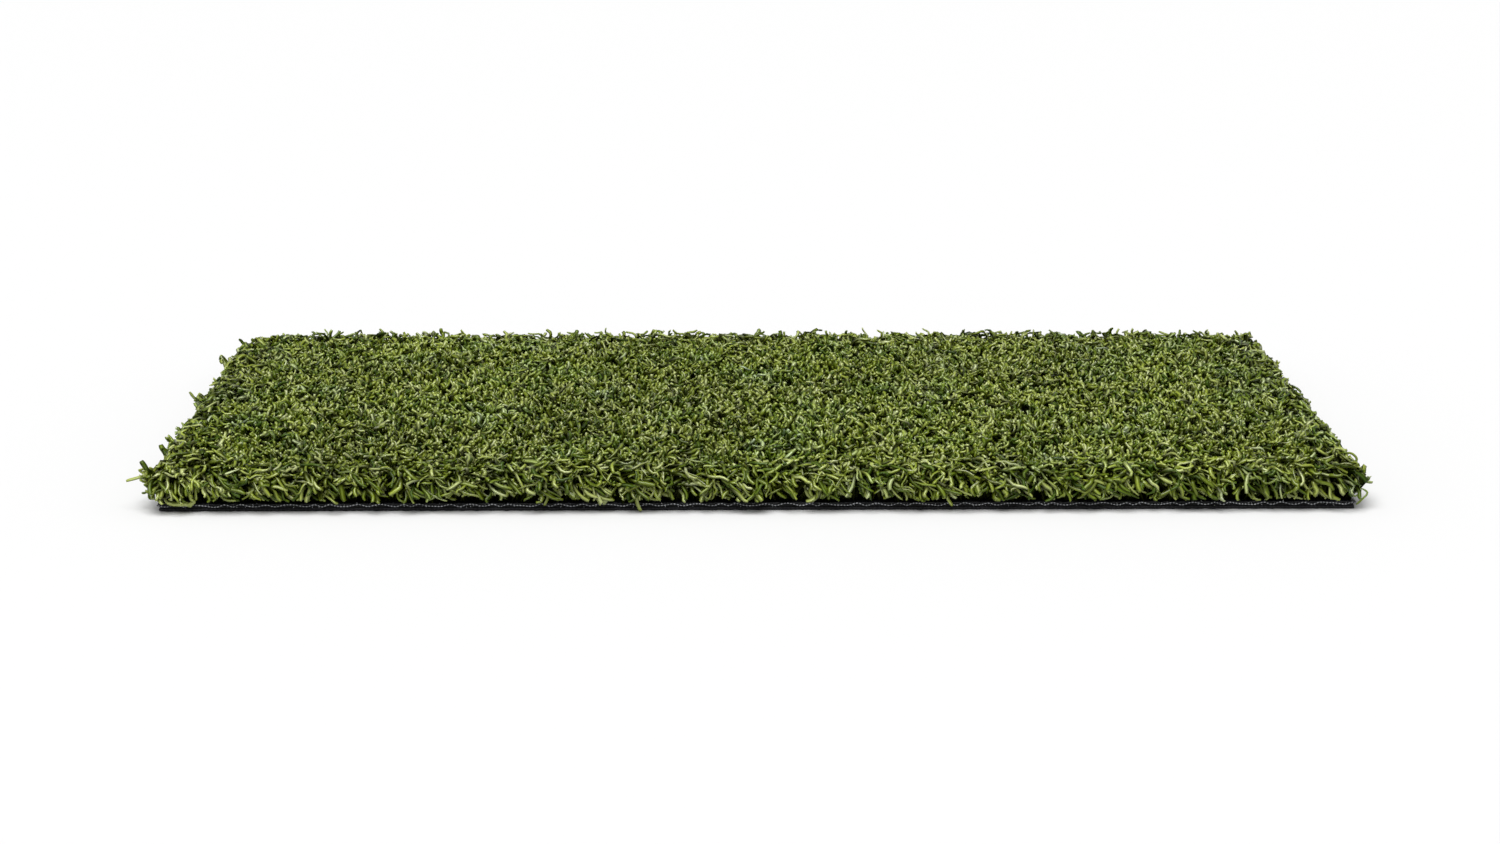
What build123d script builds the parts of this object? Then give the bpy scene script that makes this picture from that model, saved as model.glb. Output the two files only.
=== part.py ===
"""A golf hitting mat: one rectangle of tufted turf, cut with plain edges.

It is built up the way the turf is. Thirty-eight rows of crimped yarn are stitched through
a woven primary backing. Their back stitches lie in a latex coating, which locks them and
glues the woven secondary backing on underneath. Each of these is a piece of its own.

Units are millimetres. The origin is at the middle of the underside, +X runs along the
long side and the stitching, and +Z points up through the pile.
"""

import os

from build123d import *

# The cut rectangle.
MAT_LENGTH = 610.0
MAT_DEPTH = 305.0

# The layers of the backing, from the floor up.
SECONDARY_THICKNESS = 1.6
LATEX_THICKNESS = 1.4
PRIMARY_THICKNESS = 1.2
LATEX_BASE = SECONDARY_THICKNESS
PRIMARY_BASE = LATEX_BASE + LATEX_THICKNESS
PILE_BASE = PRIMARY_BASE + PRIMARY_THICKNESS

# The pile. It leans out past the cut edge, because nothing stands beside it there.
PILE_HEIGHT = 18.8
PILE_TOP = PILE_BASE + PILE_HEIGHT
PILE_SPLAY = 4.0
CROWN_RADIUS = 2.5

# The rows of yarn: 5/16 inch from one needle to the next.
ROW_COUNT = 38
ROW_GAUGE = 7.94
ROW_CLEARANCE = 0.1
FIRST_ROW_Y = -ROW_GAUGE * (ROW_COUNT - 1) / 2

# The yarn where it goes through the primary backing, and its back stitch below that.
# A row's line of needle holes is one slit, which stops short of both cut ends.
SLIT_LENGTH = MAT_LENGTH - 12.0
SLIT_WIDTH = 1.6
STITCH_WIDTH = 2.6
STITCH_HEIGHT = 0.9
STITCH_BASE = PRIMARY_BASE - STITCH_HEIGHT


def row_y(index):
    """Where a row's line of stitching lies, counted from the front edge."""
    return FIRST_ROW_Y + index * ROW_GAUGE


def every_row():
    """The places of all the lines of stitching, seen from above."""
    return GridLocations(0, ROW_GAUGE, 1, ROW_COUNT)


def save(part, name):
    """Labels a finished piece and writes it as one STEP file, named after its node."""
    part.label = name
    export_step(part, f"parts/{name}.step")


def make_secondary_backing():
    """The woven cloth that the mat lies on."""
    with BuildPart() as secondary_backing:
        with BuildSketch():
            Rectangle(MAT_LENGTH, MAT_DEPTH)
        extrude(amount=SECONDARY_THICKNESS)
    return secondary_backing.part


def make_latex_coating():
    """The coating between the two cloths, with a groove for each row's back stitches."""
    with BuildPart() as latex_coating:
        with BuildSketch(Plane.XY.offset(LATEX_BASE)):
            Rectangle(MAT_LENGTH, MAT_DEPTH)
        extrude(amount=LATEX_THICKNESS)
        with BuildSketch(Plane.XY.offset(STITCH_BASE)):
            with every_row():
                Rectangle(SLIT_LENGTH, STITCH_WIDTH)
        extrude(amount=STITCH_HEIGHT, mode=Mode.SUBTRACT)
    return latex_coating.part


def make_primary_backing():
    """The woven cloth that the yarn is stitched through, with a slit for each row."""
    with BuildPart() as primary_backing:
        with BuildSketch(Plane.XY.offset(PRIMARY_BASE)):
            Rectangle(MAT_LENGTH, MAT_DEPTH)
            with every_row():
                Rectangle(SLIT_LENGTH, SLIT_WIDTH, mode=Mode.SUBTRACT)
        extrude(amount=PRIMARY_THICKNESS)
    return primary_backing.part


def row_sides(index):
    """The front and back of a row's pile at its base, then at its top.

    The two outer rows fill the margin up to the cut edge and lean out over it.
    """
    half = (ROW_GAUGE - ROW_CLEARANCE) / 2
    front = row_y(index) - half
    back = row_y(index) + half
    front_top = front
    back_top = back
    if index == 0:
        front = -MAT_DEPTH / 2
        front_top = front - PILE_SPLAY
    if index == ROW_COUNT - 1:
        back = MAT_DEPTH / 2
        back_top = back + PILE_SPLAY
    return front, back, front_top, back_top


def make_pile_row(index):
    """One row of yarn: the standing pile, the stitches through the cloth, the back stitches."""
    front, back, front_top, back_top = row_sides(index)
    with BuildPart() as pile_row:
        with BuildSketch(Plane.XY.offset(PILE_BASE)):
            with Locations((0, (front + back) / 2)):
                Rectangle(MAT_LENGTH, back - front)
        with BuildSketch(Plane.XY.offset(PILE_TOP)):
            with Locations((0, (front_top + back_top) / 2)):
                Rectangle(MAT_LENGTH + 2 * PILE_SPLAY, back_top - front_top)
        loft()
        top_edges = pile_row.edges().group_by(Axis.Z)[-1]
        fillet(top_edges.filter_by(Axis.X), radius=CROWN_RADIUS)
        with BuildSketch(Plane.XY.offset(PRIMARY_BASE)):
            with Locations((0, row_y(index))):
                Rectangle(SLIT_LENGTH, SLIT_WIDTH)
        extrude(amount=PRIMARY_THICKNESS)
        with BuildSketch(Plane.XY.offset(STITCH_BASE)):
            with Locations((0, row_y(index))):
                Rectangle(SLIT_LENGTH, STITCH_WIDTH)
        extrude(amount=STITCH_HEIGHT)
    return pile_row.part


def main():
    os.makedirs("parts", exist_ok=True)
    save(make_secondary_backing(), "secondary_backing")
    save(make_latex_coating(), "latex_coating")
    save(make_primary_backing(), "primary_backing")
    for index in range(ROW_COUNT):
        save(make_pile_row(index), f"pile_row_{index + 1:02d}")


main()
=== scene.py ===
"""The looks of a golf hitting mat: rows of curled yarn standing on a black woven backing.

Each row of yarn is one piece, made of closed ribbons that rise from its needle holes. The
three layers of the backing are closed slabs with the relief of their weave and a rough cut
edge. Two more pieces are the threads of the cloth's cut edge, and the yarn that strays past
it. Lengths are in metres. x runs to the right along the mat, and y from its front to its back.
"""

import bpy
import numpy as np
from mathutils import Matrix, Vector


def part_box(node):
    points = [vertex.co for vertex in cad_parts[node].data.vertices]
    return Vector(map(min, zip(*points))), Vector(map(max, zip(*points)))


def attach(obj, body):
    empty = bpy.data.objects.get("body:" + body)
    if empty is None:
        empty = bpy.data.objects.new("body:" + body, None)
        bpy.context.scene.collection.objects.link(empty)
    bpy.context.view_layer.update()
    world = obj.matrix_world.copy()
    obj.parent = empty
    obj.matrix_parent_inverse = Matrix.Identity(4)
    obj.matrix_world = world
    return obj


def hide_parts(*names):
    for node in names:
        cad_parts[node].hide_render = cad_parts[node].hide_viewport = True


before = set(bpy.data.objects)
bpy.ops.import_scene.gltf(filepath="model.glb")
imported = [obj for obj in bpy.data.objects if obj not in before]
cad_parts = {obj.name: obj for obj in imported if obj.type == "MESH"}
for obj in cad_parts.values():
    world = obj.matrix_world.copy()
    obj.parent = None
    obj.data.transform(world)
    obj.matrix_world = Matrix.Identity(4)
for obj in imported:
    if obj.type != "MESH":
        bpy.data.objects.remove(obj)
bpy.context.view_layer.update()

MM = 0.001

# The waves of everything that wanders: the range of their phases, and how many metres of wave
# pass along the outline for each metre towards the back.
PHASE_RANGE = (0, 6.28)
RUN_SLOPE = 1.618

# The mat, read from the frame.
MAT_LOW, MAT_HIGH = (np.array(corner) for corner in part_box("primary_backing"))
HALF_LENGTH = (MAT_HIGH[0] - MAT_LOW[0]) / 2
HALF_DEPTH = (MAT_HIGH[1] - MAT_LOW[1]) / 2
HALF_SIZE = np.array([HALF_LENGTH, HALF_DEPTH])
PRIMARY_BASE = MAT_LOW[2]
PILE_BASE = MAT_HIGH[2]
PILE_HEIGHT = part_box("pile_row_02")[1][2] - PILE_BASE
LATEX_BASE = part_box("latex_coating")[0][2]
ROW_NAMES = sorted(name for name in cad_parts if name.startswith("pile_row_"))

# Where each thing's random numbers start. The rows of yarn count up from ROW_SEED.
ROW_SEED = 41
COMB_SEED = 41
PRIMARY_SEED = 41
SIDE_SEED = 44
LATEX_SEED = 51
SECONDARY_SEED = 61
THREAD_SEED = 71
CUT_END_SEED = 91
LOOSE_SEED = 101

# The tufts of a row: one in each needle hole, and fuller ones along the cut edges.
TUFT_COUNT = 72
TUFT_PITCH = 2 * HALF_LENGTH / TUFT_COUNT
RIBBONS_PER_TUFT = 11
OUTER_RIBBONS_PER_TUFT = 30
TUFT_SPREAD = 1.6 * MM
OUTER_SPREAD = 2.8 * MM
ROOT_DEPTH = 0.3 * MM

# A ribbon: the shares of its length where it is cut across, its sizes, and how it tapers, as
# shares of its length and of its width there.
RING_SHARES = np.array([0.0, 0.27, 0.44, 0.56, 0.66, 0.75, 0.83, 0.89, 0.95, 1.0])
RIBBON_WIDTH = 2.4 * MM
WIDTH_RANGE = (0.7, 1.2)
RIBBON_THICKNESS = 1.0 * MM
RIBBON_TAPER = ([0, 0.3, 0.9, 1], [0.6, 1, 1, 0.75])
RIBBON_TILT = 0.2
RIBBON_TWIST = 0.4
USUAL_RIBBON = 22 * MM
SHORTEST_RIBBON = 11 * MM
LONGEST_RIBBON = 34 * MM

# How ribbons stand and lean. Pairs are ranges to draw from. AIM is the height that a ribbon
# reaches, as a share of the pile's.
AIM_INSIDE = (0.76, 1.14)
AIM_AT_EDGE = (0.55, 1.1)
LEAN_SCATTER = 0.26
LEAN_OUT = (0.0, 0.9)
LEAN_AT_ROOT = 0.5
LEAN_GAIN = 0.8

# How they hook over. A hook turns as it goes, and points down if DROP is above 0. START and
# SPAN are the shares of the length where it sets in, and over which it does.
TURN_RATE = (0.5, 4.5)
TURN_LOST_AT_EDGE = 0.8
DROP_INSIDE = (-1.7, 0.4)
DROP_AT_EDGE = (0.8, 2.4)
HOOK_INSIDE = (0.0, 0.8)
HOOK_AT_EDGE = (0.7, 1.0)
HOOK_LOST_AT_EDGE = 0.7
HOOK_OUT = (0.0, 0.8)
HOOK_SIDEWAYS = 1.4
HOOK_START_INSIDE = 0.38
HOOK_START_AT_EDGE = (0.28, 0.52)
HOOK_SPAN = 0.5
SPAN_LOST_AT_EDGE = 0.25

# How they are crimped: its pitch in millimetres, its size, and where along a ribbon it sets in.
CRIMP_PITCH = (8.0, 15.0)
CRIMP_SWING = (0.2, 1.0)
CRIMP_LOST_AT_EDGE = 0.75
CRIMP_RISE = 0.5
CRIMP_ONSET = (0.25, 0.65)

# The pull of a cut edge: how far it reaches into the mat, and how it varies between ribbons.
# Over BACK_DEPTH at the back, more of the ribbons stand upright, and their tips are less even.
EDGE_MARGIN = 5.7 * MM
EDGE_REACH = 15 * MM
PULL_RANGE = (0.05, 1.0)
PULL_POWER = 0.6
BACK_DEPTH = 20 * MM
BACK_POWER = 1.8
BACK_SPIKES = 1.1
EDGE_LOST_AT_BACK = 0.7

# How the fringe is combed to one side or the other along a cut, in waves of these lengths.
COMB = 0.65
COMB_LENGTHS = (47 * MM, 23 * MM, 13 * MM)
COMB_LEAN = 0.25
FAN = 0.5

# How far the pile hangs past the cuts, as (x, y): LOW at the left and the front, HIGH at the
# right and the back. Along the left and the right it varies in waves, within these limits.
OVERHANG_LOW = np.array([8, 12]) * MM
OVERHANG_HIGH = np.array([4.5, 10]) * MM
SIDE_WAVES = (83 * MM, 47 * MM, 19 * MM)
SIDE_UNEVEN = 0.7
SIDE_LIMITS = (0.2, 2.0)

# How low a hanging tip comes, and how much higher that is past the left and right cuts, for
# each unit of overhang. ONSET is where along a ribbon this sets in.
LOWEST_TIP = 6.9 * MM
TIP_SOFTNESS = 1.2 * MM
TIP_ONSET = (0.25, 0.5)
END_RISE = 1.5

# The pile's shoulder: how far in from a cut it starts to fall, over what length, and by what
# share of its height.
SHOULDER_START = 7 * MM
SHOULDER_REACH = 13 * MM
SHOULDER_DROP = 0.28

# The layers' cut edges: how far in from the cut they are rough, the waves that make them ragged
# and rise and fall, the slant of the ragged ones, and the rings of points down the cut.
RIM_REACH = 4 * MM
RAGGED_WAVES = (11 * MM, 4.7 * MM, 2.3 * MM)
LIFT_WAVES = (13 * MM, 7.1 * MM, 3.9 * MM)
RAGGED_SLANT = 1.7
RIM_RINGS = 4
RIM_BEVEL = 0.12 * MM
FIRST_INSET = 0.3 * MM

# The primary cloth: its tapes, which show in its top 0.3 mm, how ragged and how uneven its cut
# is, how far in from the cut its faces have rings of points, the step between these, and the
# spacing of the points along them.
TAPE_PITCH = 2.1 * MM
TAPE_RELIEF = 0.12 * MM
TAPE_FACE = 0.3 * MM
PRIMARY_CUT = (0.25 * MM, 0.14 * MM)
PRIMARY_REACH = 11 * MM
PRIMARY_STEP = 0.8 * MM
PRIMARY_SPACING = 0.9 * MM

# The coating, in the same way. It was cut a little behind the two cloths, at LATEX_INSET, and
# is fully ragged as far in as LATEX_RIM.
LATEX_INSET = 0.4 * MM
LATEX_RIM = 0.5 * MM
LATEX_CUT = (0.35 * MM, 0.1 * MM)
LATEX_REACH = 3 * MM
LATEX_STEP = 0.8 * MM
LATEX_SPACING = 1.1 * MM

# The secondary cloth, in the same way. Its grid of threads shows in its lowest 0.9 mm, on the
# whole underside.
GRID_PITCH = 7.5 * MM
GRID_RELIEF = 0.3 * MM
GRID_FACE = 0.9 * MM
THIN_THREADS = 0.7
SECONDARY_CUT = (0.3 * MM, 0.12 * MM)
SECONDARY_REACH = 3 * MM
SECONDARY_UNDER = HALF_DEPTH - 1 * MM
SECONDARY_STEP = 1.0 * MM
SECONDARY_SPACING = 1.9 * MM

# The outermost thread of the primary cloth: where it lies below the pile's foot and outside
# the cut, how it weaves up and down and in and out, and half its width and height.
THREAD_DEPTH = 1.05 * MM
THREAD_OUT = 0.3 * MM
THREAD_STEP = 0.9 * MM
THREAD_END = 0.3 * MM
THREAD_WAVE = 11.5 * MM
THREAD_LIFT = 0.55 * MM
THREAD_SWAY = 0.15 * MM
THREAD_HALF_HEIGHT = 0.3 * MM
THREAD_HALF_WIDTH = 0.25 * MM
THREAD_SIDES = 6
THREAD_BEND_WAVES = (41 * MM, 23 * MM)
THREAD_BEND = 2.2 * MM
THREAD_DRIFT_WAVES = (31 * MM, 9 * MM)
THREAD_DRIFT = 0.12 * MM
THREAD_DRIFT_SEED = 7

# The cut ends of the cloth's other threads. Heights and lengths are ranges in millimetres.
CUT_END_PITCH = 2.3 * MM
CUT_END_SHARES = np.array([0.0, 0.5, 1.0])
CUT_END_HEIGHTS = (-0.7, 0.75)
CUT_END_LENGTHS = (0.6, 2.0)
CUT_END_SCATTER = [0.7, 0.7, 0.5]
CUT_END_WIDTH = 0.4 * MM
CUT_END_THICKNESS = 0.25 * MM
CUT_END_ROOT = 0.3 * MM

# The stray pieces of yarn, in millimetres: the end that x is measured out from (-1 left, 1
# right, 0 the middle), the tint, the width, and points (x, out past the front cut, height).
LOOSE_SHARES = np.linspace(0, 1, 15)
LOOSE_THICKNESS = 0.8
# The stray yarn is painted fully lit: no painted shade at its root or at its edges.
LOOSE_PAINTED_LIGHT = 1.0
LOOSE_ACROSS_FROM = 0.4
LOOSE_YARN = [
    (-1, 0.78, 1.8, [(-1, -8, 16.2), (4, -7, 16.6), (9, -6, 16.2), (13, -5.5, 15.2), (16.5, -5, 14.4)]),
    (-1, 0.7, 1.5, [(5, -6.5, 17), (9, -6.5, 18.5), (10.5, -6.5, 20.3), (8, -6.5, 21.4)]),
    (-1, 0.15, 1.3, [(-2, -3, 12), (3, -2.5, 12), (6.5, -2, 10), (8.5, -2, 9.6)]),
    (-1, 0.1, 1.4, [(1, -2, 10), (4, -1.5, 9.5), (4.5, -1.5, 7.4), (3, -1.5, 6.8)]),
    (-1, 0.88, 2.7, [(-4, 0.6, 7.4), (-5, 1.7, 5.6), (-8, 2.2, 4.8), (-13, 2.2, 4.8), (-17, 2.0, 5.0),
                     (-18.3, 1.4, 6.0), (-17, 0.4, 7.6)]),
    (1, 0.85, 1.7, [(-3, -5, 14.5), (2, -5, 14.3), (6, -5, 13.6), (9.5, -5, 13.0)]),
    (1, 0.6, 1.0, [(1, -1, 11.0), (4, 0, 10.2), (5.8, 0.5, 8.4), (3.4, 0.8, 5.4), (0.4, 0.6, 2.4)]),
    (1, 0.5, 1.4, [(-2, -42, 17), (5, -42, 18.5), (9.5, -43, 15.5), (9.9, -43, 12)]),
    (0, 0.8, 1.9, [(-61.5, -3, 14), (-62, 1.5, 12), (-61.8, 3.4, 8), (-61, 3.8, 4), (-59.5, 3.8, 0.9)]),
    (0, 0.7, 1.7, [(-105, -3, 14), (-106, 1.5, 11), (-107, 3, 7), (-108.5, 3.2, 3.8)]),
    (0, 0.75, 1.8, [(94, -3, 14), (95, 1.5, 11.5), (96.5, 3.2, 7), (99, 3.4, 3.2)]),
    (0, 0.98, 3.2, [(-84.5, -1, 14), (-81.5, 2.5, 9), (-79.5, 3.6, 5.2), (-78.3, 3.4, 5.6),
                    (-76.5, 2.5, 9), (-74, -1, 13)]),
]

# The margin of each tube's square of the UV map, as a share of the square.
PATCH_MARGIN = 0.06

# The greens of the yarn, from the deepest to the palest, and the cooler green of some patches
# of the pile. Roots are darker by painted shade, down to ROOT_PAINTED_SHADE. The ribbons along a
# cut get painted light further down, by EDGE_PAINTED_LIGHT, because they stand in the open.
YARN_SHADES = [
    (0.0, (0.034, 0.064, 0.003)),
    (0.3, (0.104, 0.140, 0.006)),
    (0.65, (0.200, 0.245, 0.021)),
    (0.9, (0.272, 0.315, 0.074)),
    (1.0, (0.335, 0.372, 0.140)),
]
COOL_PATCHES = [
    (0.5, (1.0, 1.0, 1.0)),
    (0.75, (0.84, 0.97, 1.6)),
]
ROOT_PAINTED_SHADE = 0.08
EDGE_PAINTED_LIGHT = 0.5

# The sizes of the yarn's pattern, as noise scales: patches, cool patches, and streaks across
# a ribbon, as (tint, place along, place across).
PATCH_SCALE = 14.0
COOL_SCALE = 31.0
STREAK_SCALE = (60, 3, 9)

# The backing's materials: the darkest and the lightest colour, the pitch of the pattern and
# the roughness.
CLOTHS = {
    "primary_cloth": ((0.002, 0.002, 0.003), (0.008, 0.009, 0.011), TAPE_PITCH, 0.45),
    "latex": ((0.002, 0.002, 0.002), (0.008, 0.008, 0.008), 0.8 * MM, 0.75),
    "secondary_cloth": ((0.003, 0.003, 0.004), (0.012, 0.012, 0.015), TAPE_PITCH, 0.6),
    # The edge thread's pale grey is partly painted sheen, where the black cloth's cut edge catches the
    # light, and partly the grey of the cut thread ends.
    "edge_thread": ((0.040, 0.043, 0.048), (0.460, 0.470, 0.490), 1.6 * MM, 0.35),
}
CLOTH_GLOSS = 0.25

# A wave texture of scale 1 has one band in this length, in metres.
WAVE_LENGTH = 0.314

# The floor, and the light: a sun's strength, its spread in radians and where it comes from,
# and a room that is bright at the level of the floor and dimmer overhead, as (height, light).
FLOOR_REACH = 12.0
FLOOR_COLOR = (0.568, 0.568, 0.568)
FLOOR_ROUGHNESS = 0.9
FLOOR_GLOSS = 0.1
KEY_LIGHT = 4.62
KEY_SPREAD = 0.95
KEY_FROM = (-0.12, -0.35, 1.0)
ROOM_LOW = (0.08, 1.0)
ROOM_HIGH = (0.35, 0.36)

# The camera: just left of the middle, 15 degrees above the floor. Its lens is in millimetres.
CAMERA_LENS = 66.2
CAMERA_SENSOR = 36
CAMERA_PLACE = (-0.0165, -1.5, 0.405)
CAMERA_AIM = (-0.0024, 0.0227, 0.0)


def smooth_step(low, high, value):
    """0 below low and 1 above high, with a smooth rise between them."""
    share = np.clip((value - low) / (high - low), 0, 1)
    return share * share * (3 - 2 * share)


def unit(vectors):
    """The vectors at length 1."""
    return vectors / np.linalg.norm(vectors, axis=-1, keepdims=True)


def wander(position, seed, lengths, size):
    """A smooth random line along position: waves of these lengths, up to about size high."""
    rng = np.random.default_rng(seed)
    waves = [np.sin(2 * np.pi * position / length + rng.uniform(*PHASE_RANGE)) for length in lengths]
    return size * sum(waves) / len(waves) ** 0.5


def run_of(points):
    """How far each point is along the outline, near enough for a wave to follow."""
    return points[..., 0] + RUN_SLOPE * points[..., 1]


def row_lines():
    """The y of each row's line of stitching, by the row's name.

    The outer rows' boxes take in the margin, so the spacing comes from two inner rows.
    """
    second, third = (np.mean([corner[1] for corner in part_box(name)]) for name in ROW_NAMES[1:3])
    return {name: second + (index - 1) * (third - second) for index, name in enumerate(ROW_NAMES)}


def edge_pull(roots):
    """Which way is out of the mat from each root, as long as the pull of the cut edge is strong."""
    room = HALF_SIZE - np.abs(roots[:, :2])
    strength = np.exp(-np.clip(room - EDGE_MARGIN, 0, None) / EDGE_REACH)
    return np.sign(roots[:, :2]) * strength


def edge_share(pull):
    """How much each ribbon belongs to the edge, from 0 in the middle of the mat to 1."""
    return np.clip(np.linalg.norm(pull, axis=1), 0, 1)


def back_share(roots):
    """How near each root is to the back cut, from 0 to 1."""
    return smooth_step(HALF_DEPTH - BACK_DEPTH, HALF_DEPTH, roots[:, 1])


def blend(edge, inside, at_edge):
    """The value inside the mat, turning into the one at its edge."""
    return inside * (1 - edge) + at_edge * edge


def comb_sideways(rng, roots, pull):
    """The push along the cut that combs the fringe, for each ribbon."""
    comb = wander(run_of(roots), COMB_SEED, COMB_LENGTHS, COMB)
    comb = comb + rng.uniform(-FAN, FAN, len(roots)) + COMB_LEAN
    return np.stack([-pull[:, 1], pull[:, 0]], axis=1) * comb[:, None]


def rise_directions(lean, share):
    """The way up from the root, which leans more and more."""
    rise = np.ones((len(lean), share.size, 3))
    rise[:, :, :2] = lean[:, None, :] * (LEAN_AT_ROOT + LEAN_GAIN * share[:, :, None])
    return unit(rise)


def hook_directions(rng, pull, sideways, share):
    """The way a ribbon hooks over, and how far it has turned that way, at each share of it."""
    count = len(pull)
    edge = edge_share(pull)
    turn = rng.uniform(0, 2 * np.pi, count)[:, None]
    rate = rng.choice([-1, 1], count) * rng.uniform(*TURN_RATE, count)
    turn = turn + (rate * (1 - TURN_LOST_AT_EDGE * edge))[:, None] * share
    drop = blend(edge, rng.uniform(*DROP_INSIDE, count), rng.uniform(*DROP_AT_EDGE, count))
    down = np.broadcast_to(-drop[:, None], turn.shape)
    hook = np.stack([np.cos(turn), np.sin(turn), down], axis=2)
    hook[:, :, :2] *= (1 - HOOK_LOST_AT_EDGE * edge)[:, None, None]
    out = pull * rng.uniform(*HOOK_OUT, (count, 1)) + HOOK_SIDEWAYS * sideways
    hook[:, :, :2] += out[:, None, :]
    weight = blend(edge, rng.uniform(*HOOK_INSIDE, count), rng.uniform(*HOOK_AT_EDGE, count))
    start = blend(edge, HOOK_START_INSIDE, rng.uniform(*HOOK_START_AT_EDGE, count))[:, None]
    span = (HOOK_SPAN - SPAN_LOST_AT_EDGE * edge)[:, None]
    weight = weight[:, None] * smooth_step(start, start + span, share)
    return unit(hook), weight[:, :, None]


def crimp_offsets(rng, edge, share):
    """The crimp: a coil that is added to the directions."""
    count = len(edge)
    pitch = rng.uniform(*CRIMP_PITCH, count) * MM
    phase = rng.uniform(0, 2 * np.pi, count)[:, None]
    phase = phase + 2 * np.pi * (USUAL_RIBBON / pitch)[:, None] * share
    swing = rng.uniform(*CRIMP_SWING, count) * (1 - CRIMP_LOST_AT_EDGE * edge)
    swing = swing[:, None] * smooth_step(*CRIMP_ONSET, share)
    crimp = np.stack([np.cos(phase), np.sin(phase), CRIMP_RISE * np.sin(2 * phase)], axis=2)
    return crimp * swing[:, :, None]


def directions_out(rng, roots, middles):
    """The direction of each stretch of each ribbon: it leans, hooks over and is crimped.

    Inside the mat the ribbons stand close and hook at random. Along a cut edge they have
    room, so they lean outwards, droop more and show less of their crimp.
    """
    count = len(roots)
    share = middles[None, :]
    power = PULL_POWER + BACK_POWER * back_share(roots)
    pull = edge_pull(roots) * rng.uniform(*PULL_RANGE, (count, 1)) ** power[:, None]
    lean = rng.normal(0, LEAN_SCATTER, (count, 2)) + pull * rng.uniform(*LEAN_OUT, (count, 1))
    sideways = comb_sideways(rng, roots, pull)
    rise = rise_directions(lean + sideways, share)
    hook, weight = hook_directions(rng, pull, sideways, share)
    crimp = crimp_offsets(rng, edge_share(pull), share)
    return unit(rise * (1 - weight) + hook * weight + crimp)


def ribbon_lines(rng, roots):
    """The centre line of each ribbon, as one point for each ring, cut to the pile's height."""
    count = len(roots)
    middles = (RING_SHARES[1:] + RING_SHARES[:-1]) / 2
    steps = np.diff(RING_SHARES)
    directions = directions_out(rng, roots, middles)
    travelled = np.cumsum(directions * steps[None, :, None], axis=1)
    lines = np.concatenate([np.zeros((count, 1, 3)), travelled], axis=1)
    at_back = back_share(roots)
    edge = edge_share(edge_pull(roots)) * (1 - EDGE_LOST_AT_BACK * at_back)
    aim = blend(edge, rng.uniform(*AIM_INSIDE, count), rng.uniform(*AIM_AT_EDGE, count))
    aim = aim ** (1 + BACK_SPIKES * at_back)
    length = PILE_HEIGHT * aim / lines[:, :, 2].max(axis=1)
    length = np.clip(length, SHORTEST_RIBBON, LONGEST_RIBBON)
    return hold_back(roots[:, None, :] + lines * length[:, None, None])


def hold_back(lines):
    """Bends the lines so that none hangs far past the cut edges or down over the backing."""
    past = np.clip(np.abs(lines[..., :2]) - HALF_SIZE, 0, None)
    overhang = np.where(lines[..., :2] < 0, OVERHANG_LOW, OVERHANG_HIGH)
    uneven = wander(lines[..., 1], SIDE_SEED, SIDE_WAVES, SIDE_UNEVEN)
    overhang[..., 0] *= np.clip(1 + uneven, *SIDE_LIMITS)
    held = overhang * (1 - np.exp(-past / overhang))
    lines[..., :2] -= np.sign(lines[..., :2]) * (past - held)

    out = np.abs(lines[..., :2]) - HALF_SIZE + SHOULDER_START
    fall = np.clip(out.max(axis=-1) / SHOULDER_REACH, 0, 1) ** 2
    lines[..., 2] -= np.clip(lines[..., 2] - PILE_BASE, 0, None) * fall * SHOULDER_DROP

    lowest = LOWEST_TIP + END_RISE * held[..., 0]
    above = (lines[..., 2] - lowest) / TIP_SOFTNESS
    softened = lowest + TIP_SOFTNESS * np.logaddexp(0, above)
    free = smooth_step(*TIP_ONSET, RING_SHARES)[None, :]
    lines[..., 2] += (softened - lines[..., 2]) * free
    return lines


def ribbon_rings(rng, lines, width, thickness=RIBBON_THICKNESS, shares=RING_SHARES):
    """The three corners of each ribbon's section at each ring: two edges and a low ridge."""
    count = len(lines)
    along = unit(np.gradient(lines, axis=1))
    start = rng.uniform(0, 2 * np.pi, (count, 1))
    angle = start + rng.normal(0, RIBBON_TWIST, (count, 1)) * shares[None, :]
    across = np.stack([np.cos(angle), np.sin(angle), np.full_like(angle, RIBBON_TILT)], axis=2)
    across = unit(across - (across * along).sum(axis=2, keepdims=True) * along)
    up = np.cross(along, across)
    taper = np.interp(shares, *RIBBON_TAPER)
    half = (width[:, None] * taper[None, :] / 2)[:, :, None]
    ridge = (thickness * taper)[None, :, None]
    return np.stack([lines + across * half, lines + up * ridge, lines - across * half], axis=2)


def thread_rings(lines, outward):
    """The corners of a round thread's section at each point, in the plane of outward and up."""
    angles = np.arange(THREAD_SIDES) * 2 * np.pi / THREAD_SIDES
    offsets = np.cos(angles)[:, None] * outward * THREAD_HALF_WIDTH
    offsets = offsets + np.sin(angles)[:, None] * np.array([0, 0, THREAD_HALF_HEIGHT])
    return lines[:, :, None, :] + offsets[None, None]


def new_mesh(name, points, faces):
    """A smooth mesh of these points and faces."""
    mesh = bpy.data.meshes.new(name)
    mesh.from_pydata(points.reshape(-1, 3).tolist(), [], faces)
    mesh.polygons.foreach_set("use_smooth", np.ones(len(faces), dtype=bool))
    return mesh


def add_object(name, content):
    """A new object in the scene, with this mesh, light or camera."""
    thing = bpy.data.objects.new(name, content)
    bpy.context.scene.collection.objects.link(thing)
    return thing


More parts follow.
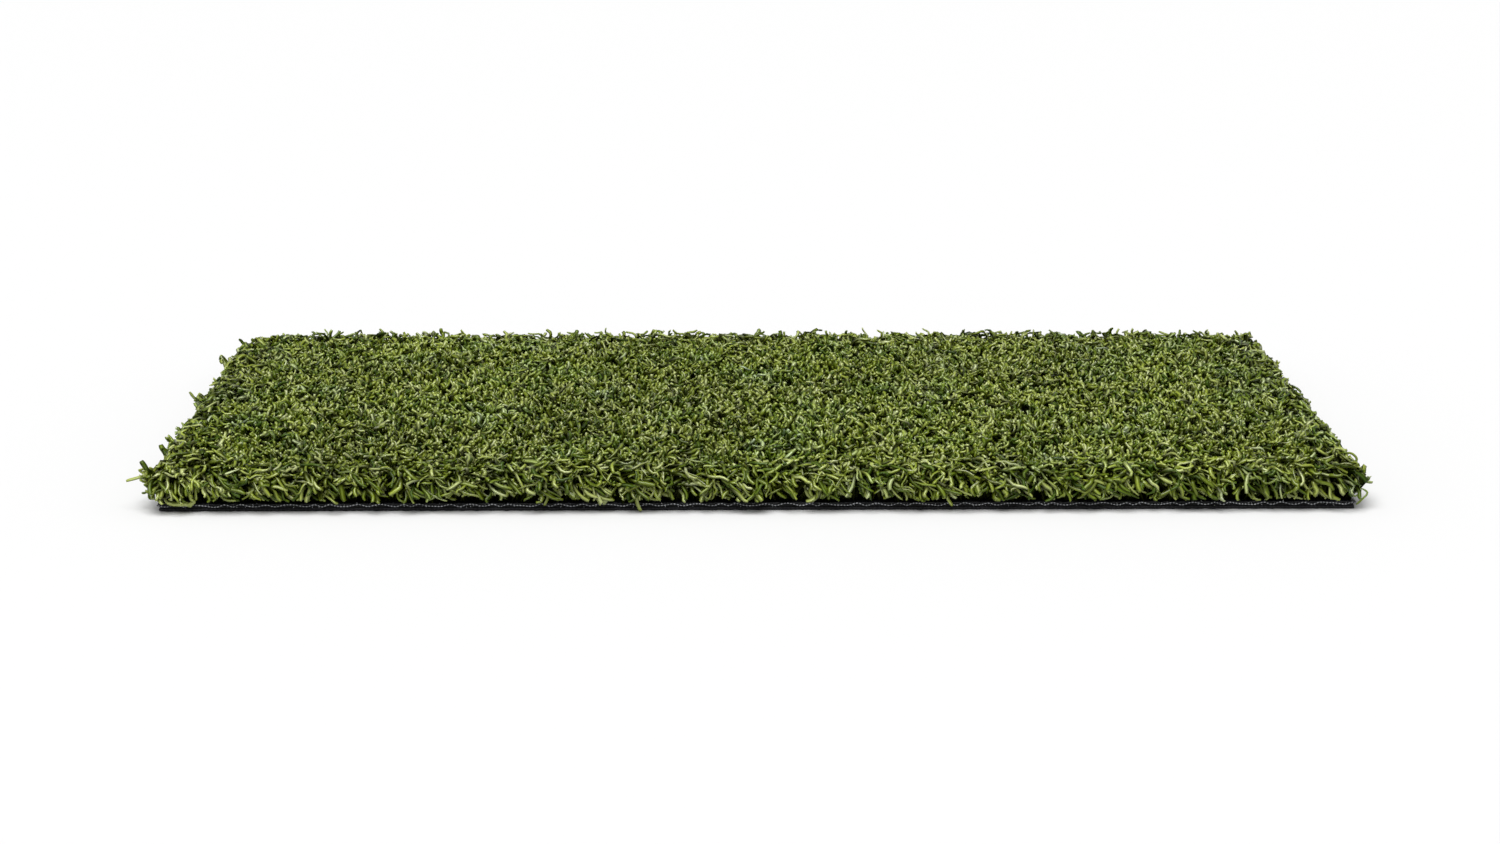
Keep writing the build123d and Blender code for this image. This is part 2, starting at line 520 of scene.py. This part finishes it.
class MeshParts:
    """Collects closed tubes into one mesh, each with its own square of the UV map."""

    def __init__(self):
        self.points = []
        self.quads = []
        self.caps = []
        self.traits = []
        self.quad_patches = []
        self.cap_patches = []
        self.point_count = 0
        self.tube_count = 0

    def add_tubes(self, rings, tint, light=None, across_from=0.0):
        """Adds tubes given as corners[tube, ring, corner, xyz], with one tint for each tube.

        light[tube, ring] says how far out in the open each ring is, from 0 to 1, which sets its
        painted shade at the root and its painted light in the open: without it, that is each
        ring's place along its tube. across_from is how far in from a tube's edge its colour
        starts, so that a higher one gets less of the painted shade at its edges.
        """
        tubes, ring_count, sides = rings.shape[:3]
        index = np.arange(tubes * ring_count * sides).reshape(tubes, ring_count, sides)
        index = index + self.point_count
        following = np.roll(index, -1, axis=2)
        quads = np.stack(
            [index[:, :-1], following[:, :-1], following[:, 1:], index[:, 1:]],
            axis=-1,
        )
        self.quads.append(quads.reshape(-1, 4))
        self.caps.append(np.stack([index[:, 0, ::-1], index[:, -1]], axis=1).reshape(-1, sides))
        self.points.append(rings.reshape(-1, 3))
        if light is None:
            light = np.linspace(0, 1, ring_count)
        light = np.broadcast_to(light, (tubes, ring_count))
        side = np.linspace(across_from, 1 - across_from, sides)[None, None, :]
        trait = np.stack(np.broadcast_arrays(tint[:, None, None], light[:, :, None], side), axis=-1)
        self.traits.append(trait.reshape(-1, 3))
        self.add_patches(tubes, ring_count, sides)
        self.point_count += index.size
        self.tube_count += tubes

    def add_patches(self, tubes, ring_count, sides):
        """Each tube's own square of the UV map: across it goes round the tube, up it goes along."""
        u, v = np.meshgrid(np.arange(sides + 1) / sides, np.arange(ring_count) / (ring_count - 1))
        grid = np.stack([u, v], axis=-1)
        quad = np.stack([grid[:-1, :-1], grid[:-1, 1:], grid[1:, 1:], grid[1:, :-1]], axis=2)
        cap = np.stack([grid[0, :sides][::-1], grid[-1, :sides]])
        number = self.tube_count + np.arange(tubes)
        self.quad_patches.append((number, quad.reshape(-1, 2)))
        self.cap_patches.append((number, cap.reshape(-1, 2)))

    def patch_map(self):
        """The place in the UV map of every corner of every face, in the faces' order."""
        across = int(np.ceil(np.sqrt(self.tube_count)))
        placed = []
        for number, patch in self.quad_patches + self.cap_patches:
            cell = np.stack([number % across, number // across], axis=-1)
            inner = PATCH_MARGIN + (1 - 2 * PATCH_MARGIN) * patch
            placed.append((cell[:, None, :] + inner[None]).reshape(-1, 2))
        return np.concatenate(placed) / across

    def build(self, name, material):
        """The collected tubes as one mesh object."""
        faces = [face for group in self.quads + self.caps for face in group.tolist()]
        mesh = new_mesh(name, np.concatenate(self.points), faces)
        patches = mesh.uv_layers.new(name="OFBake")
        patches.data.foreach_set("uv", self.patch_map().ravel())
        trait = mesh.attributes.new("yarn", "FLOAT_VECTOR", "POINT")
        trait.data.foreach_set("vector", np.concatenate(self.traits).ravel())
        mesh.materials.append(material)
        return add_object(name, mesh)


def row_roots(rng, outer, line_y):
    """Where a row's ribbons stand: in a tuft at each needle hole."""
    holes = -HALF_LENGTH + TUFT_PITCH * (np.arange(TUFT_COUNT) + 0.5)
    in_tuft = np.full(TUFT_COUNT, OUTER_RIBBONS_PER_TUFT if outer else RIBBONS_PER_TUFT)
    in_tuft[[0, -1]] = OUTER_RIBBONS_PER_TUFT
    count = in_tuft.sum()
    spread = OUTER_SPREAD if outer else TUFT_SPREAD
    roots = np.zeros((count, 3))
    roots[:, 0] = np.repeat(holes, in_tuft) + rng.normal(0, spread, count)
    roots[:, 0] = np.clip(roots[:, 0], holes[0] - TUFT_SPREAD, holes[-1] + TUFT_SPREAD)
    roots[:, 1] = line_y + rng.normal(0, TUFT_SPREAD, count)
    roots[:, 2] = PILE_BASE - ROOT_DEPTH
    return roots


def make_row(index, name, line_y, material):
    """One row of yarn: its ribbons, as a piece that stands for the row's CAD solid."""
    rng = np.random.default_rng(ROW_SEED + index)
    roots = row_roots(rng, index in (0, len(ROW_NAMES) - 1), line_y)
    count = len(roots)
    lines = ribbon_lines(rng, roots)
    width = RIBBON_WIDTH * rng.uniform(*WIDTH_RANGE, count)
    rings = ribbon_rings(rng, lines, width)
    tint = rng.uniform(0, 1, count)
    # Painted light along each ribbon: painted shade at the root, and less of it on ribbons along a cut.
    painted_light_gain = 1 + EDGE_PAINTED_LIGHT * edge_share(edge_pull(roots))
    light = np.linspace(0, 1, len(RING_SHARES))[None, :] * painted_light_gain[:, None]
    parts = MeshParts()
    parts.add_tubes(rings, tint, np.clip(light, 0, 1))
    row = parts.build(name.replace("pile", "yarn"), material)
    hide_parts(name)
    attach(row, "root")


def smooth_line(points, count):
    """A smooth line through a few points (Catmull-Rom), as count points."""
    padded = np.concatenate([[2 * points[0] - points[1]], points, [2 * points[-1] - points[-2]]])
    place = np.linspace(0, len(points) - 1, count)
    index = np.minimum(place.astype(int), len(points) - 2)
    t = (place - index)[:, None]
    before, first, second, after = (padded[index + step] for step in range(4))
    return 0.5 * (
        2 * first
        + (second - before) * t
        + (2 * before - 5 * first + 4 * second - after) * t ** 2
        + (3 * (first - second) + after - before) * t ** 3
    )


def make_loose_yarn(material):
    """The few pieces of yarn that stray past the cut edges: blades, a stitch and thin ends."""
    rng = np.random.default_rng(LOOSE_SEED)
    parts = MeshParts()
    half_length, half_depth = HALF_SIZE / MM
    for side, tint, width, points in LOOSE_YARN:
        line = np.array(points, dtype=float)
        line[:, 1] = -half_depth - line[:, 1]
        if side:
            line[:, 0] = side * (half_length + line[:, 0])
        line = smooth_line(line, len(LOOSE_SHARES))[None] * MM
        thickness = LOOSE_THICKNESS * width * MM
        rings = ribbon_rings(rng, line, np.array([width * MM]), thickness, LOOSE_SHARES)
        parts.add_tubes(rings, np.array([tint]), LOOSE_PAINTED_LIGHT, LOOSE_ACROSS_FROM)
    loose = parts.build("loose_yarn", material)
    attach(loose, "root")


def outline(inset, long_count, short_count):
    """Points around the mat's outline, moved in by inset, anticlockwise from the front left."""
    x = HALF_LENGTH - inset
    y = HALF_DEPTH - inset
    along = x * (2 * np.arange(long_count) / long_count - 1)
    up = y * (2 * np.arange(short_count) / short_count - 1)
    sides = [
        (along, np.full(long_count, -y)),
        (np.full(short_count, x), up),
        (-along, np.full(long_count, y)),
        (np.full(short_count, -x), -up),
    ]
    return np.concatenate([np.stack(side, axis=1) for side in sides])


def outline_counts(spacing):
    """How many points, about spacing apart, the outline has on a long and on a short side."""
    return int(2 * HALF_LENGTH / spacing), int(2 * HALF_DEPTH / spacing)


def slab_profile(low, high, reach, step, below=None):
    """Rings from below to above: in to reach on both faces, or to below under the slab."""
    under = np.arange(FIRST_INSET, below or reach, step)
    over = np.arange(FIRST_INSET, reach, step)
    heights = np.linspace(low + RIM_BEVEL, high - RIM_BEVEL, RIM_RINGS)
    rim = [(0.0, height) for height in heights]
    return [(inset, low) for inset in under[::-1]] + rim + [(inset, high) for inset in over]


def make_slab(name, profile, relief, spacing):
    """A closed slab with the mat's outline, as rings from the middle below to the middle above.

    profile lists each ring's (inset, z). relief moves the points, given them and their insets.
    """
    long_count, short_count = outline_counts(spacing)
    around = 2 * (long_count + short_count)
    points = np.zeros((len(profile), around, 3))
    for ring, (inset, height) in zip(points, profile):
        ring[:, :2] = outline(inset, long_count, short_count)
        ring[:, 2] = height
    insets = np.array([inset for inset, height in profile])
    points = relief(points, insets[:, None])
    index = np.arange(points.size // 3).reshape(len(profile), around)
    following = np.roll(index, -1, axis=1)
    quads = np.stack([index[:-1], following[:-1], following[1:], index[1:]], axis=-1)
    faces = quads.reshape(-1, 4).tolist() + [index[0, ::-1].tolist(), index[-1].tolist()]
    return add_object(name, new_mesh(name, points, faces))


def rough_rim(points, insets, seed, depth, lift):
    """The ragged cut: the rim goes in and out by depth, and its layers rise and fall by lift."""
    near = np.clip(1 - insets / RIM_REACH, 0, 1)
    run = run_of(points)
    ragged = wander(run + RAGGED_SLANT * points[..., 2], seed, RAGGED_WAVES, depth)
    points[..., :2] *= 1 - (np.abs(ragged) * near)[..., None] / HALF_DEPTH
    points[..., 2] += wander(run, seed + 1, LIFT_WAVES, lift) * near
    return points


def weave(points, pitch):
    """A plain weave's height, from -1 to 1: tapes that go over and under each other."""
    return np.cos(np.pi * points[..., 0] / pitch) * np.cos(np.pi * points[..., 1] / pitch)


def primary_relief(points, insets):
    """Flat tapes woven over and under, and a cut edge where they rise and fall."""
    upper = points[..., 2] > PILE_BASE - TAPE_FACE
    points[..., 2] += np.where(upper, (weave(points, TAPE_PITCH) - 1) * TAPE_RELIEF, 0)
    return rough_rim(points, insets, PRIMARY_SEED, *PRIMARY_CUT)


def latex_relief(points, insets):
    """A coating that was cut with a knife: lumpy, and a little behind the two cloths."""
    return rough_rim(points, insets - LATEX_RIM, LATEX_SEED, *LATEX_CUT)


def secondary_relief(points, insets):
    """An open cloth pressed into the coating: thick threads across, thin pairs along."""
    under = points[..., 2] < GRID_FACE
    across = np.cos(2 * np.pi * points[..., 0] / GRID_PITCH)
    along = np.cos(2 * np.pi * points[..., 1] / GRID_PITCH)
    ridge = np.maximum(across, THIN_THREADS * along)
    points[..., 2] += np.where(under, GRID_RELIEF * (1 - ridge) / 2, 0)
    rim = rough_rim(points, insets, SECONDARY_SEED, *SECONDARY_CUT)
    rim[..., 2] = np.maximum(rim[..., 2], 0)
    return rim


def make_primary():
    """The primary cloth, which the yarn stands in."""
    profile = slab_profile(PRIMARY_BASE, PILE_BASE, PRIMARY_REACH, PRIMARY_STEP)
    return make_slab("primary_cloth", profile, primary_relief, PRIMARY_SPACING)


def make_latex():
    """The coating between the two cloths."""
    profile = slab_profile(LATEX_BASE, PRIMARY_BASE, LATEX_REACH, LATEX_STEP)
    profile = [(inset + LATEX_INSET, height) for inset, height in profile]
    return make_slab("latex_layer", profile, latex_relief, LATEX_SPACING)


def make_secondary():
    """The secondary cloth, which lies on the floor."""
    profile = slab_profile(0.0, LATEX_BASE, SECONDARY_REACH, SECONDARY_STEP, SECONDARY_UNDER)
    return make_slab("secondary_cloth", profile, secondary_relief, SECONDARY_SPACING)


def make_backing(materials):
    """The three layers under the pile, and the threads of the primary cloth's cut edge."""
    primary = make_primary()
    latex = make_latex()
    secondary = make_secondary()
    for piece, node, slot in (
        (primary, "primary_backing", "primary_cloth"),
        (latex, "latex_coating", "latex"),
        (secondary, "secondary_backing", "secondary_cloth"),
    ):
        piece.data.materials.append(materials[slot])
        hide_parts(node)
        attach(piece, "root")
    threads = make_edge_threads(materials["edge_thread"])


def edge_thread_line(axis, side, seed):
    """The line of the outermost thread on one side of the mat, which runs along this axis."""
    half_run = HALF_SIZE[axis]
    count = int(2 * half_run / THREAD_STEP)
    run = np.linspace(-half_run + THREAD_END, half_run - THREAD_END, count)
    bend = run + wander(run, seed, THREAD_BEND_WAVES, THREAD_BEND)
    turn = 2 * np.pi * bend / THREAD_WAVE
    drift = wander(run, seed + THREAD_DRIFT_SEED, THREAD_DRIFT_WAVES, THREAD_DRIFT)
    lift = THREAD_LIFT * np.sin(turn) + drift
    line = np.zeros((1, count, 3))
    line[0, :, axis] = run
    line[0, :, 1 - axis] = side * (HALF_SIZE[1 - axis] + THREAD_OUT + THREAD_SWAY * np.cos(turn))
    line[0, :, 2] = PILE_BASE - THREAD_DEPTH + lift
    return line


def cut_places(pitch):
    """Places along the four cuts, about pitch apart, and which way is out of the mat there."""
    long_count, short_count = outline_counts(pitch)
    places = np.zeros((2 * (long_count + short_count), 3))
    places[:, :2] = outline(0.0, long_count, short_count)
    ways = np.array([[0, -1, 0], [1, 0, 0], [0, 1, 0], [-1, 0, 0]], dtype=float)
    return places, np.repeat(ways, [long_count, short_count, long_count, short_count], axis=0)


def cut_end_lines(rng):
    """The lines of the short thread ends that stick out of the cuts."""
    starts, outwards = cut_places(CUT_END_PITCH)
    count = len(starts)
    heights = PILE_BASE - THREAD_DEPTH + rng.uniform(*CUT_END_HEIGHTS, count) * MM
    heading = unit(outwards + rng.normal(0, CUT_END_SCATTER, (count, 3)))
    length = rng.uniform(*CUT_END_LENGTHS, count)[:, None, None] * MM
    lines = np.repeat(starts[:, None, :], len(CUT_END_SHARES), axis=1)
    lines[..., 2] += heights[:, None]
    lines += heading[:, None, :] * length * CUT_END_SHARES[None, :, None]
    return lines - outwards[:, None, :] * CUT_END_ROOT


def make_edge_threads(material):
    """The threads of the cut edge: the outermost one on each side, and the ends of the others."""
    parts = MeshParts()
    for axis in (0, 1):
        for side in (-1, 1):
            line = edge_thread_line(axis, side, THREAD_SEED + 2 * axis + side)
            outward = np.zeros(3)
            outward[1 - axis] = side
            parts.add_tubes(thread_rings(line, outward), np.array([0.5]))
    rng = np.random.default_rng(CUT_END_SEED)
    lines = cut_end_lines(rng)
    width = np.full(len(lines), CUT_END_WIDTH)
    rings = ribbon_rings(rng, lines, width, CUT_END_THICKNESS, CUT_END_SHARES)
    parts.add_tubes(rings, rng.uniform(0, 1, len(lines)))
    threads = parts.build("edge_threads", material)
    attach(threads, "root")
    return threads


def new_material(name):
    """A node material, its node tree and its Principled shader."""
    material = bpy.data.materials.new(name)
    material.use_nodes = True
    tree = material.node_tree
    return material, tree, tree.nodes["Principled BSDF"]


def add_node(tree, kind, **settings):
    """A node with some of its properties set."""
    node = tree.nodes.new(kind)
    for key, value in settings.items():
        setattr(node, key, value)
    return node


def ramp_node(tree, value, stops):
    """The colour at value on a ramp through stops, given as (position, colour)."""
    node = add_node(tree, "ShaderNodeValToRGB")
    elements = node.color_ramp.elements
    while len(elements) < len(stops):
        elements.new(0.5)
    for element, (position, color) in zip(elements, stops):
        element.position = position
        element.color = (*color, 1)
    tree.links.new(value, node.inputs[0])
    return node.outputs["Color"]


def range_node(tree, value, low, high, interpolation="SMOOTHSTEP"):
    """Maps value from low's (input, output) to high's, smoothly unless told otherwise."""
    node = add_node(tree, "ShaderNodeMapRange", interpolation_type=interpolation)
    node.inputs["From Min"].default_value = low[0]
    node.inputs["To Min"].default_value = low[1]
    node.inputs["From Max"].default_value = high[0]
    node.inputs["To Max"].default_value = high[1]
    tree.links.new(value, node.inputs["Value"])
    return node.outputs[0]


def multiply(tree, first, second):
    """The product of two values."""
    node = add_node(tree, "ShaderNodeMath", operation="MULTIPLY")
    tree.links.new(first, node.inputs[0])
    tree.links.new(second, node.inputs[1])
    return node.outputs[0]


def multiply_color(tree, color, factor):
    """The colour times a grey factor or another colour."""
    node = add_node(tree, "ShaderNodeMix", data_type="RGBA", blend_type="MULTIPLY")
    node.inputs["Factor"].default_value = 1
    tree.links.new(color, node.inputs["A"])
    tree.links.new(factor, node.inputs["B"])
    return node.outputs["Result"]


def noise_node(tree, vector, scale, detail=2.0):
    """The value of a noise texture."""
    node = add_node(tree, "ShaderNodeTexNoise")
    node.inputs["Scale"].default_value = scale
    node.inputs["Detail"].default_value = detail
    tree.links.new(vector, node.inputs["Vector"])
    return node.outputs["Fac"]


def add_bump(tree, shader, height, strength, distance):
    """Gives the shader a bump of this height."""
    node = add_node(tree, "ShaderNodeBump")
    node.inputs["Strength"].default_value = strength
    node.inputs["Distance"].default_value = distance
    tree.links.new(height, node.inputs["Height"])
    tree.links.new(node.outputs[0], shader.inputs["Normal"])


def streak_noise(tree, traits):
    """Fine streaks along each ribbon, from its tint and its places along and across."""
    stretched = add_node(tree, "ShaderNodeVectorMath", operation="MULTIPLY")
    stretched.inputs[1].default_value = STREAK_SCALE
    tree.links.new(traits, stretched.inputs[0])
    return noise_node(tree, stretched.outputs[0], 1.0)


def yarn_color(tree, tint, light, side, streaks):
    """Each ribbon's green: patchy over the mat and streaked, with painted shade at its root and
    its edges and a little painted light along its middle.
    """
    place = add_node(tree, "ShaderNodeTexCoord").outputs["Object"]
    patches = noise_node(tree, place, PATCH_SCALE)
    cool = ramp_node(tree, noise_node(tree, place, COOL_SCALE), COOL_PATCHES)
    middle = add_node(tree, "ShaderNodeMath", operation="PINGPONG")
    middle.inputs[1].default_value = 0.5
    tree.links.new(side, middle.inputs[0])
    color = ramp_node(tree, tint, YARN_SHADES)
    for factor in (
        range_node(tree, patches, (0.35, 0.86), (0.65, 1.12)),
        cool,
        range_node(tree, streaks, (0.3, 0.85), (0.7, 1.12)),
        # Painted shade: darker towards each ribbon's root, where the pile shades it.
        range_node(tree, light, (0.46, ROOT_PAINTED_SHADE), (0.9, 1.0)),
        # Painted shade at a ribbon's edges, and a little painted light along its middle.
        range_node(tree, middle.outputs[0], (0.0, 0.6), (0.4, 1.1)),
    ):
        color = multiply_color(tree, color, factor)
    return color


def yarn_material():
    """Crimped plastic yarn, glossier on pale ribbons and towards the tips."""
    material, tree, shader = new_material("pile_yarn")
    link = tree.links.new
    traits = add_node(tree, "ShaderNodeAttribute", attribute_name="yarn").outputs["Vector"]
    split = add_node(tree, "ShaderNodeSeparateXYZ")
    link(traits, split.inputs[0])
    tint, light, side = split.outputs
    streaks = streak_noise(tree, traits)
    link(yarn_color(tree, tint, light, side, streaks), shader.inputs["Base Color"])
    shine = range_node(tree, light, (0.45, 0.02), (0.9, 0.8))
    paleness = range_node(tree, tint, (0.0, 0.25), (0.8, 0.9))
    link(multiply(tree, shine, paleness), shader.inputs["Specular IOR Level"])
    link(range_node(tree, streaks, (0.3, 0.22), (0.7, 0.36)), shader.inputs["Roughness"])
    add_bump(tree, shader, streaks, 0.25, 0.1 * MM)
    return material


def cloth_material(name, dark, light, pitch, roughness):
    """Black woven plastic: tapes of slightly different greys, with fine lengthwise grain."""
    material, tree, shader = new_material(name)
    link = tree.links.new
    place = add_node(tree, "ShaderNodeTexCoord").outputs["Object"]
    blotches = noise_node(tree, place, 1 / (3 * pitch), 4.0)
    tapes = add_node(tree, "ShaderNodeTexWave", bands_direction="X")
    tapes.inputs["Scale"].default_value = WAVE_LENGTH / pitch
    tapes.inputs["Distortion"].default_value = 1.5
    link(place, tapes.inputs["Vector"])
    pattern = multiply(tree, blotches, tapes.outputs["Fac"])
    link(ramp_node(tree, pattern, [(0.1, dark), (0.6, light)]), shader.inputs["Base Color"])
    shader.inputs["Specular IOR Level"].default_value = CLOTH_GLOSS
    rough = range_node(tree, blotches, (0.3, roughness - 0.1), (0.7, roughness + 0.12))
    link(rough, shader.inputs["Roughness"])
    grain = noise_node(tree, place, 1 / (0.35 * pitch), 3.0)
    add_bump(tree, shader, grain, 0.5, 0.15 * MM)
    return material


def make_floor():
    """A plain white floor, far wider than the view."""
    reach = FLOOR_REACH
    corners = [(-reach, -reach, 0), (reach, -reach, 0), (reach, reach, 0), (-reach, reach, 0)]
    mesh = bpy.data.meshes.new("floor")
    mesh.from_pydata(corners, [], [(0, 1, 2, 3)])
    material, _, shader = new_material("floor")
    shader.inputs["Base Color"].default_value = (*FLOOR_COLOR, 1)
    shader.inputs["Roughness"].default_value = FLOOR_ROUGHNESS
    shader.inputs["Specular IOR Level"].default_value = FLOOR_GLOSS
    mesh.materials.append(material)
    add_object("floor", mesh)


def light_studio():
    """A broad soft key light from above, and a white room that is bright near the floor."""
    world = bpy.data.worlds.new("studio")
    world.use_nodes = True
    tree = world.node_tree
    background = tree.nodes["Background"]
    background.inputs["Color"].default_value = (1, 1, 1, 1)
    place = add_node(tree, "ShaderNodeTexCoord")
    split = add_node(tree, "ShaderNodeSeparateXYZ")
    tree.links.new(place.outputs["Generated"], split.inputs[0])
    fade = range_node(tree, split.outputs["Z"], ROOM_LOW, ROOM_HIGH, "LINEAR")
    tree.links.new(fade, background.inputs["Strength"])
    bpy.context.scene.world = world

    light = bpy.data.lights.new("key", "SUN")
    light.energy = KEY_LIGHT
    light.angle = KEY_SPREAD
    holder = add_object("key", light)
    holder.rotation_euler = Vector(KEY_FROM).to_track_quat("Z", "Y").to_euler()


def add_camera():
    """The camera, aimed at the middle of the mat."""
    camera = bpy.data.cameras.new("camera")
    camera.lens = CAMERA_LENS
    camera.sensor_width = CAMERA_SENSOR
    holder = add_object("camera", camera)
    holder.location = CAMERA_PLACE
    view = Vector(CAMERA_AIM) - Vector(CAMERA_PLACE)
    holder.rotation_euler = view.to_track_quat("-Z", "Y").to_euler()
    bpy.context.scene.camera = holder


def main():
    """Builds the scene."""
    add_camera()
    make_floor()
    light_studio()
    make_backing({name: cloth_material(name, *look) for name, look in CLOTHS.items()})
    yarn = yarn_material()
    for index, (name, line_y) in enumerate(row_lines().items()):
        make_row(index, name, line_y, yarn)
    make_loose_yarn(yarn)
    bpy.context.scene.view_settings.view_transform = "Standard"


main()
